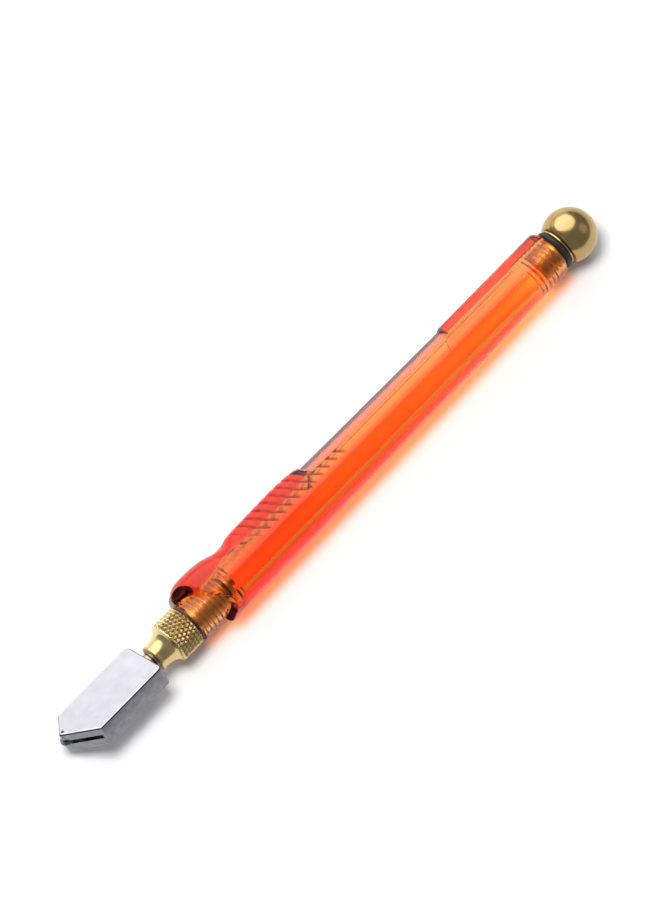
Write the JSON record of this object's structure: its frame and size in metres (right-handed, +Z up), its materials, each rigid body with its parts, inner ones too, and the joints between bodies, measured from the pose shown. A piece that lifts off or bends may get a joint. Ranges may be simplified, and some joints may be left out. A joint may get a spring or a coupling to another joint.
{
  "type": "glass cutter",
  "caption": "Oil-feed pencil-grip glass cutter: a carbide wheel in a slotted swivel head, a knurled brass ferrule with a sprung oil valve, a clear orange reservoir handle and a brass ball cap.",
  "frame": {"origin": "on the table, under the middle of the tool's length and width, 0.53 mm to the +Y side of the tool's axis", "axes": "+X along the tool from the cutting wheel to the ball cap, +Y towards the side of the two finger stops, +Z up from the table that the tool lies on; the tool rests on its round body and leans on its lower finger stop"},
  "size_m": [0.175, 0.0152, 0.0141],
  "materials": {
    "carbide": "ground tungsten carbide",
    "steel": "turned steel",
    "chrome": "bright chrome plate",
    "cotton": "twisted cotton",
    "spring_steel": "drawn spring wire and strip",
    "brass": "turned and polished",
    "rubber": "smooth black nitrile",
    "clear_orange": "clear orange moulded acrylic"
  },
  "bodies": {
    "barrel": {"handle": "clear_orange"},
    "gasket": {"ferrule_gasket": "rubber"},
    "nose": {"ferrule": "brass", "stem_oring": "rubber", "valve_seal": "rubber", "return_spring": "spring_steel"},
    "spring_seat": {"spring_washer": "steel"},
    "head": {"cutter_head": "chrome", "head_stem": "steel", "wheel_axle": "steel", "oil_wick": "cotton", "valve_disc": "brass", "stem_clip": "spring_steel"},
    "wheel": {"cutting_wheel": "carbide"},
    "cap_seal": {"cap_oring": "rubber"},
    "cap": {"ball_cap": "brass"}
  },
  "joints": [
    {"name": "ferrule_travel", "type": "slide", "parent": "barrel", "child": "gasket", "axis": [-1, 0, 0], "range_m": [0, 0.01063]},
    {"name": "ferrule_unscrew", "type": "hinge", "parent": "gasket", "child": "nose", "pos_m": [-0.0475, -0.00053, 0.00705], "axis": [-1, 0, 0], "range_deg": [0, 3061]},
    {"name": "head_press", "type": "slide", "parent": "nose", "child": "spring_seat", "axis": [1, 0, 0], "range_m": [0, 0.0012], "stiffness_N_per_m": 800, "springref_m": -0.0025, "deforming": ["return_spring"]},
    {"name": "head_swivel", "type": "hinge", "parent": "spring_seat", "child": "head", "pos_m": [-0.0575, -0.00053, 0.00705], "axis": [1, 0, 0], "continuous": true},
    {"name": "wheel_spin", "type": "hinge", "parent": "head", "child": "wheel", "pos_m": [-0.08575, 0.00091, 0.00614], "axis": [0, 0.5373, 0.8434], "continuous": true},
    {"name": "cap_travel", "type": "slide", "parent": "barrel", "child": "cap_seal", "axis": [1, 0, 0], "range_m": [0, 0.00625]},
    {"name": "cap_unscrew", "type": "hinge", "parent": "cap_seal", "child": "cap", "pos_m": [0.0775, -0.00053, 0.00705], "axis": [1, 0, 0], "range_deg": [0, 1801]}
  ],
  "couplings": [
    {"joint": "ferrule_unscrew", "follows": "ferrule_travel", "rad_per_m": 5026.5},
    {"joint": "cap_unscrew", "follows": "cap_travel", "rad_per_m": 5026.5}
  ]
}
